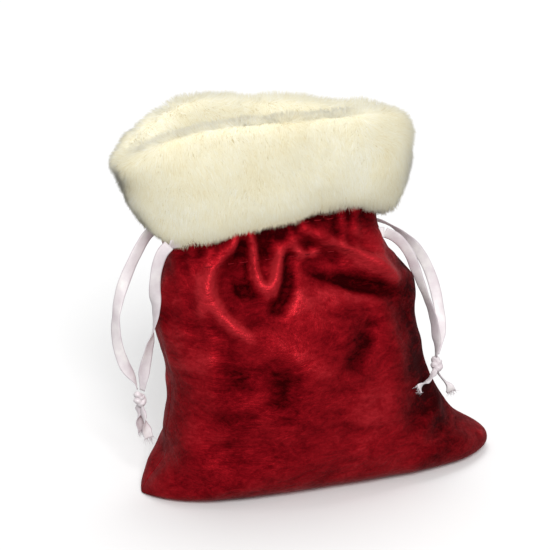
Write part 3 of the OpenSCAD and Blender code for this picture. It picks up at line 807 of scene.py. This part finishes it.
def stitching(name, node, grid, side):
    """Two rows of running stitches that follow the velvet, each dipping into it at both ends."""
    lo, hi = (np.array(b)[0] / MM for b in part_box(node))
    steps, sides = 9, 8
    pts, faces = [], []
    for z in STITCH_ROWS:
        row = grid[np.argmin(np.abs(grid[..., 2].mean(axis=1) - z))]
        for x in np.arange(lo, hi - STITCH, STITCH_PITCH):
            t = np.linspace(0, 1, steps)
            c = np.stack([np.interp(x + STITCH * t, row[:, 0], row[:, k]) for k in range(3)], 1)
            c[:, 1] += side * (0.22 - 0.75 * np.abs(2 * t - 1) ** 5)
            along = unit(np.gradient(c, axis=0))
            a = unit(np.cross(along, [0, 0, 1]))
            b = np.cross(along, a)
            ring = [c + THREAD_R * (a * math.cos(q) + b * math.sin(q))
                    for q in np.linspace(0, 2 * np.pi, sides, endpoint=False)]
            faces.append(grid_faces(steps, sides, wrap=True, offset=len(pts) * steps * sides))
            pts.append(np.stack(ring, 1).reshape(-1, 3))
    ob = mesh_object(name, np.concatenate(pts), [np.concatenate(faces)], [THREAD])
    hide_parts(node)
    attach(ob, "sack")


stitching("front_tunnel_stitching", "front_tunnel_stitches", front_grid, -1)
stitching("back_tunnel_stitching", "back_tunnel_stitches", back_grid, 1)

# ---------------------------------------------------------------- fur cuff
# Heights every 30 degrees round the cuff in plan: 0 is right, 90 is the back, 180 is left, 270 is the front
CREST_Z = [198, 198, 202, 207, 212, 205, 195, 200, 206, 207, 207, 204]
HEM_Z = [149, 148, 147, 146, 144, 143, 144, 140, 145, 152, 153.5, 146.5]
# Half sizes in plan, of its outside and of its mouth: right, left, front, back
MID_X, OUT_R, OUT_L, OUT_F, OUT_B = -21.0, 79.0, 84.5, 30.0, 31.5
IN_R, IN_L, IN_F, IN_B = 58.0, 52.0, 12.5, 12.0
CUFF_COLS, CUFF_ROWS, TURN_FROM, TURN_TO = 160, 120, -100, 262
SECTION_POWER = 2.7  # 2 is a round cross-section, and more is squarer
FIBRES, CLUMP, FIBRE_LENGTH, ROOT_DEPTH = 66000, 14, 5.6, 2.4
THIRD = 2.0944  # a third of a turn


def round_table(angles, table):
    """A smooth value between the table's entries, for angles in degrees."""
    pos = np.mod(angles, 360) / 30
    i = np.floor(pos).astype(int) % 12
    f = pos - np.floor(pos)
    t = np.array(table, float)
    return curve(t[(i - 1) % 12], t[i], t[(i + 1) % 12], t[(i + 2) % 12], f)


def super_plan(angles, r, l, f, b, power_r, power_l):
    """An oval in plan from its four half sizes. A higher power squares its right or left end."""
    a = np.radians(angles)
    c, s = np.cos(a), np.sin(a)
    p = np.where(c > 0, power_r, power_l)
    x = np.where(c > 0, r, l) * np.sign(c) * np.abs(c) ** (2 / p)
    y = np.where(s > 0, b, f) * np.sign(s) * np.abs(s) ** (2 / p)
    return x, y


def cuff_point(angles, turn):
    """A point of the cuff. turn runs from the outer hem (-90) over the outside (0) and the rim (90)
    to the inner edge (270)."""
    ox, oy = super_plan(angles, OUT_R, OUT_L, OUT_F, OUT_B, 3.2, 2.05)
    ix, iy = super_plan(angles, IN_R, IN_L, IN_F, IN_B, 3.0, 2.3)
    cx, cy = (ox + ix) / 2, (oy + iy) / 2
    hx, hy = (ox - ix) / 2, (oy - iy) / 2
    crest, hem = round_table(angles, CREST_Z), round_table(angles, HEM_Z)
    t = np.radians(turn)
    c, s = np.cos(t), np.sin(t)
    c, s = (np.sign(v) * np.abs(v) ** (2 / SECTION_POWER) for v in (c, s))
    z = (crest + hem) / 2 + (crest - hem) / 2 * s
    # the outside swells above the hem and tucks in towards it, most at the left corner
    left = np.exp(-((np.mod(angles, 360) - 180) / 42) ** 2)
    k = (z - hem) / (crest - hem)
    tuck = 1 - (0.07 + 0.09 * left) * np.clip(1 - k / (0.7 + 0.15 * left), 0, 1) ** 1.4 * smooth01((c + 1) / 1.1)
    tuck = tuck + 0.035 * left * np.exp(-((k - 0.8) / 0.16) ** 2) * smooth01((c - 0.1) / 0.4)
    x = MID_X + (cx + hx * c) * tuck
    y = NECK_Y + (cy + hy * c) * (1 + (tuck - 1) * 0.6)
    return np.stack(np.broadcast_arrays(x, y, z), -1)


def cuff_grid(a0, a1):
    """Points of the cuff between two angles in plan, and each point's turn."""
    angles, turns = np.meshgrid(np.linspace(a0, a1, CUFF_COLS), np.linspace(TURN_FROM, TURN_TO, CUFF_ROWS))
    return cuff_point(angles.ravel(), turns.ravel()).reshape(CUFF_ROWS, CUFF_COLS, 3), turns


def displaced(g, amount, size, seed):
    n = grid_normals(g)
    d = amount * lattice_noise(g.reshape(-1, 3), size, seed).reshape(g.shape[:2])
    return g + n * d[..., None], n


def cuff_half(name, a0, a1, seed, nodes):
    """One half of the plush cuff: a closed ground, and the pile that stands on it."""
    g, turns = cuff_grid(a0, a1)
    g, _ = displaced(g, 1.3, 22, seed)
    g, n = displaced(g, 0.7, 8, seed + 1)
    rows, cols = g.shape[:2]
    # which way is out: away from the band's own middle
    mid = g.mean(axis=0, keepdims=True)
    n = n * np.sign((n * (g - mid)).sum(-1).mean())
    ground = g - n * ROOT_DEPTH
    first, last = np.arange(cols), (rows - 1) * cols + np.arange(cols)
    closing = np.stack([first[:-1], first[1:], last[1:], last[:-1]], 1)
    ends = [end_cap(np.arange(rows) * cols + c, c == 0) for c in (0, cols - 1)]
    shell = mesh_object(name + "_plush_ground", ground.reshape(-1, 3),
                        [grid_faces(rows, cols, flip=True), closing] + ends, [FUR_BASE])
    # pile: fibres spread evenly over the surface, and fewer of them deep inside the mouth
    r = np.random.default_rng(seed)
    quad = np.linalg.norm(np.cross(g[1:, :-1] - g[:-1, :-1], g[:-1, 1:] - g[:-1, :-1]), axis=-1)
    weight = (quad * np.where(turns[:-1, :-1] > 150, 0.45, 1.0)).ravel()
    pick = r.choice(len(weight), FIBRES, p=weight / weight.sum())
    i, j = np.divmod(pick, cols - 1)
    fi, fj = r.random(FIBRES), r.random(FIBRES)

    def at(field):
        """The field's value at each fibre's root."""
        a, b, c, d = field[i, j], field[i, j + 1], field[i + 1, j], field[i + 1, j + 1]
        up_, across = (fi[:, None], fj[:, None]) if field.ndim == 3 else (fi, fj)
        return (a * (1 - across) + b * across) * (1 - up_) + (c * (1 - across) + d * across) * up_

    root, out, turn = at(g), unit(at(n)), at(turns)
    root = root - out * ROOT_DEPTH
    # fibres lie downhill, most on the outside and at the hem, and swirl in large and small patches
    down = np.array([0, 0, -1.0]) - out * (-out[:, 2:3])
    down = down / np.maximum(np.linalg.norm(down, axis=1, keepdims=True), 0.35)
    swirl = np.stack([lattice_noise(root, 16, seed + k) for k in (5, 6, 7)], -1)
    small = np.stack([lattice_noise(root, 5, seed + k) for k in (8, 9, 10)], -1)
    hem = smooth01((-35 - turn) / 45)[:, None]
    outer = smooth01((120 - turn) / 60)[:, None]
    lay = (down * (1.0 + 0.9 * hem) * (0.45 + 0.55 * outer) + swirl * 0.75 + small * 0.4
           + r.normal(size=(FIBRES, 3)) * 0.3)
    lay = lay - out * (lay * out).sum(1, keepdims=True)
    length = (FIBRE_LENGTH + 0.8 * lattice_noise(root, 9, seed + 11) + r.normal(size=FIBRES) * 0.6)[:, None]
    length = length * (1 + 0.25 * hem)
    tip = root + unit(out * (0.75 - 0.2 * hem) + lay * 0.95) * length
    # clumps: tips lean towards the tip of one fibre in the clump that they belong to
    count = FIBRES // CLUMP
    tree = kdtree.KDTree(count)
    chosen = r.choice(FIBRES, count, replace=False)
    for k, c in enumerate(chosen):
        tree.insert(Vector(root[c]), k)
    tree.balance()
    near = np.array([tree.find(Vector(p))[1] for p in root])
    pull = (0.2 + 0.2 * hem) * r.uniform(0.5, 1.0, (FIBRES, 1))
    tip = tip + (tip[chosen[near]] - tip) * pull
    # each fibre is a slim three-sided cone, shaded with the surface that it stands on, as a dense pile is
    width = r.uniform(0.17, 0.29, (FIBRES, 1))
    along = unit(tip - root)
    side = unit(np.cross(along, out))
    other = np.cross(side, along)
    spin = r.uniform(0, 2 * np.pi, (FIBRES, 1))
    level = unit((root - [MID_X, NECK_Y, 0]) * [1, 1.8, 0])
    lit = unit(out * (1 - hem) + level * hem)
    lit = unit(lit + [0, 0, 1] * (0.2 - 0.34 * hem))
    corners, shades = [], []
    for k in range(3):
        radial = side * np.cos(spin + k * THIRD) + other * np.sin(spin + k * THIRD)
        corners.append(root + radial * width)
        shades.append(unit(lit + 0.28 * radial))
    points = np.stack(corners + [tip], 1).reshape(-1, 3)
    base = np.arange(FIBRES)[:, None] * 4
    tris = np.concatenate([base + [1, 0, 3], base + [2, 1, 3], base + [0, 2, 3]])
    # tone: patches of about 20 mm and 6 mm, with variation from fibre to fibre on top
    field = (lattice_noise(root, 20, seed + 20) * 0.8 + lattice_noise(root, 6, seed + 21) * 0.5
             + r.normal(size=FIBRES) * 0.75)
    # painted shade: darker tones deep inside the mouth and along the hem
    painted_mouth_shade = smooth01((turn - 110) / 60)
    field = field + painted_mouth_shade * 1.0 + hem[:, 0] * 1.3
    tone = np.select([field < -0.9, field < 0.1, field < 0.9, field < 1.7], [4, 0, 1, 2], 3)
    pile = mesh_object(name + "_plush_pile", points, tris, FUR_TONES, slots=np.tile(tone, 3))
    shade = np.stack(shades + [unit(lit + 0.3 * along)], 1).reshape(-1, 3)
    pile.data.normals_split_custom_set_from_vertices(shade.tolist())
    # light passes through the fibres, so only the ground casts a shadow
    pile.visible_shadow = False
    for ob in (shell, pile):
        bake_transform(ob)
    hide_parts(*nodes)
    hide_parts(*nodes)


cuff_half("front_cuff", 180, 360, 21, ["front_cuff", "front_cuff_facing", "left_cuff_corner"])
cuff_half("back_cuff", 0, 180, 34, ["back_cuff", "back_cuff_facing", "right_cuff_corner"])

# ---------------------------------------------------------------- carried-over CAD nodes
for node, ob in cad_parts.items():
    if ob.hide_render:
        continue
    # what is left is the seams and tunnel strips, and the ribbons' turns inside the tunnel
    for slot in ob.material_slots:
        slot.link = "OBJECT"
        slot.material = BACKING if node.endswith(("_seam", "_strip")) else SATIN

# ---------------------------------------------------------------- studio
floor_mat = Nodes("studio_floor", Roughness=0.8, Specular_IOR_Level=0.1)
tone = floor_mat.noise(floor_mat.coords(), 3, 2)
floor_mat.to(floor_mat.mix(tone, (0.83, 0.83, 0.83, 1), (0.85, 0.85, 0.85, 1)), "Base Color")
FLOOR_Z, FLOOR_SIDES, FLOOR_RINGS = -0.05, 48, [400, 1200, 3000, 6000.0]
ang = np.linspace(0, 2 * np.pi, FLOOR_SIDES, endpoint=False)
pts = np.concatenate([[[0, 0, FLOOR_Z]]] + [
    np.stack([r * np.cos(ang), r * np.sin(ang), np.full(FLOOR_SIDES, FLOOR_Z)], 1) for r in FLOOR_RINGS])
centre_fan = np.stack([np.zeros(FLOOR_SIDES, int), 1 + np.arange(FLOOR_SIDES),
                       1 + (np.arange(FLOOR_SIDES) + 1) % FLOOR_SIDES], 1)
rings = grid_faces(len(FLOOR_RINGS), FLOOR_SIDES, wrap=True, offset=1, flip=True)
floor = mesh_object("studio_floor", pts, [rings, centre_fan], [floor_mat.mat])
# the floor takes light and shadow, and throws none back at the sack
floor.visible_diffuse = floor.visible_glossy = False

world = bpy.data.worlds.new("studio")
bpy.context.scene.world = world
world.use_nodes = True
world.node_tree.nodes["Background"].inputs[0].default_value = (1, 1, 1, 1)
world.node_tree.nodes["Background"].inputs[1].default_value = 0.45


def sun(name, towards, power, spread):
    """Soft light from a direction: a large panel far away, which lights the floor evenly."""
    light = bpy.data.lights.new(name, "SUN")
    light.energy, light.angle = power, math.radians(spread)
    ob = bpy.data.objects.new(name, light)
    ob.rotation_euler = Vector(towards).to_track_quat("Z", "Y").to_euler()
    ob.location = Vector(towards)
    bpy.context.collection.objects.link(ob)


sun("key_panel", (-0.25, -1.0, 0.75), 2.65, 24)
sun("top_panel", (0.1, 0.4, 1.2), 1.1, 34)
bpy.context.scene.view_settings.view_transform = "Standard"
